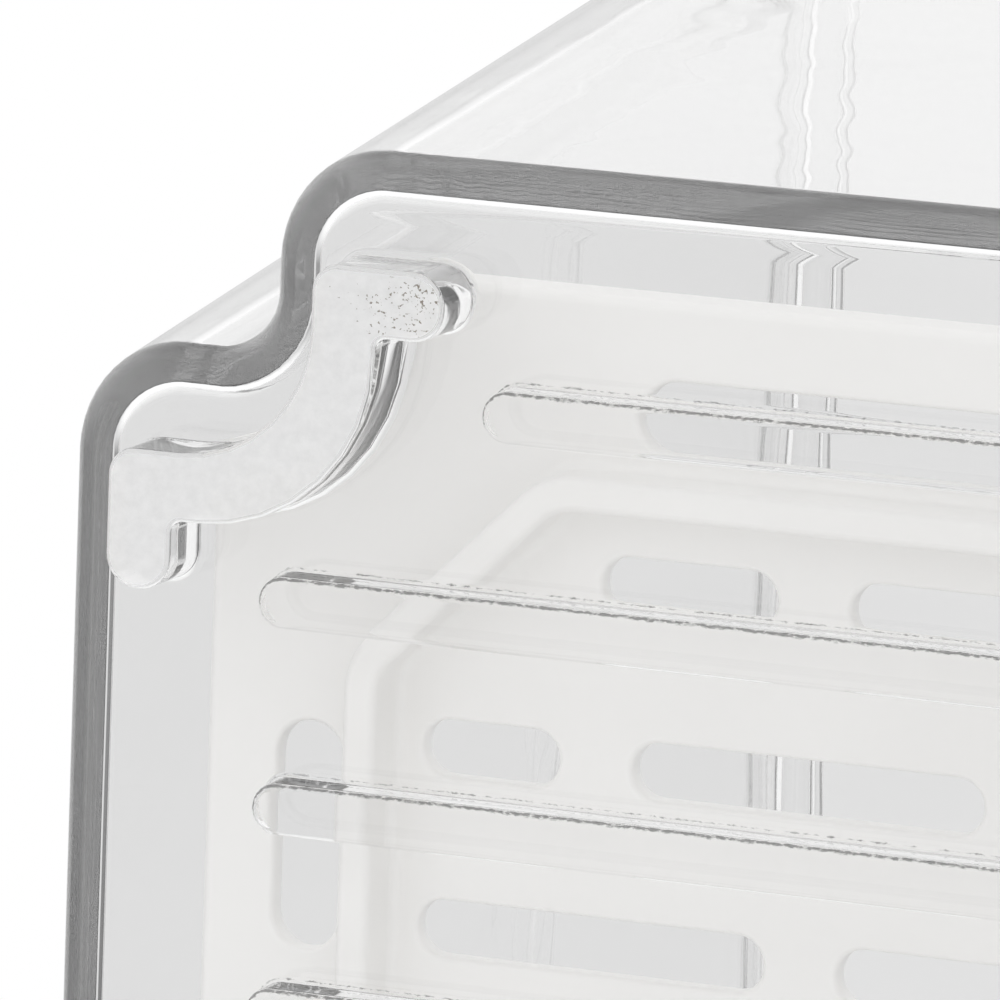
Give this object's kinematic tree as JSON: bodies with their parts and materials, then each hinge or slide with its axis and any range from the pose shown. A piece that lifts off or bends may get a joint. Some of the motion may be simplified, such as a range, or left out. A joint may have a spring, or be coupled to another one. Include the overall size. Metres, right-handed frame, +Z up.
{
  "type": "storage box with drain tray",
  "caption": "Clear rectangular storage box with notched corners, S-shaped stacking feet and a ribbed underside, holding a loose slotted drain tray under a drop-on lid.",
  "frame": {"origin": "centre of the footprint, on the surface that the feet stand on", "axes": "+Z up, +X along the box's length, +Y across it"},
  "size_m": [0.329, 0.186, 0.2066],
  "materials": {
    "clear_plastic": "clear moulded plastic, glossy, foot faces lightly frosted",
    "white_plastic": "satin white moulded plastic"
  },
  "bodies": {
    "box": {"box": "clear_plastic"},
    "drain_tray": {"drain_tray": "white_plastic"},
    "lid": {"lid": "clear_plastic"}
  },
  "joints": [
    {"name": "tray_lift", "type": "slide", "parent": "box", "child": "drain_tray", "axis": [0, 0, 1], "range_m": [0, 0.2]},
    {"name": "lid_lift", "type": "slide", "parent": "drain_tray", "child": "lid", "axis": [0, 0, 1], "range_m": [0, 0.06]}
  ]
}
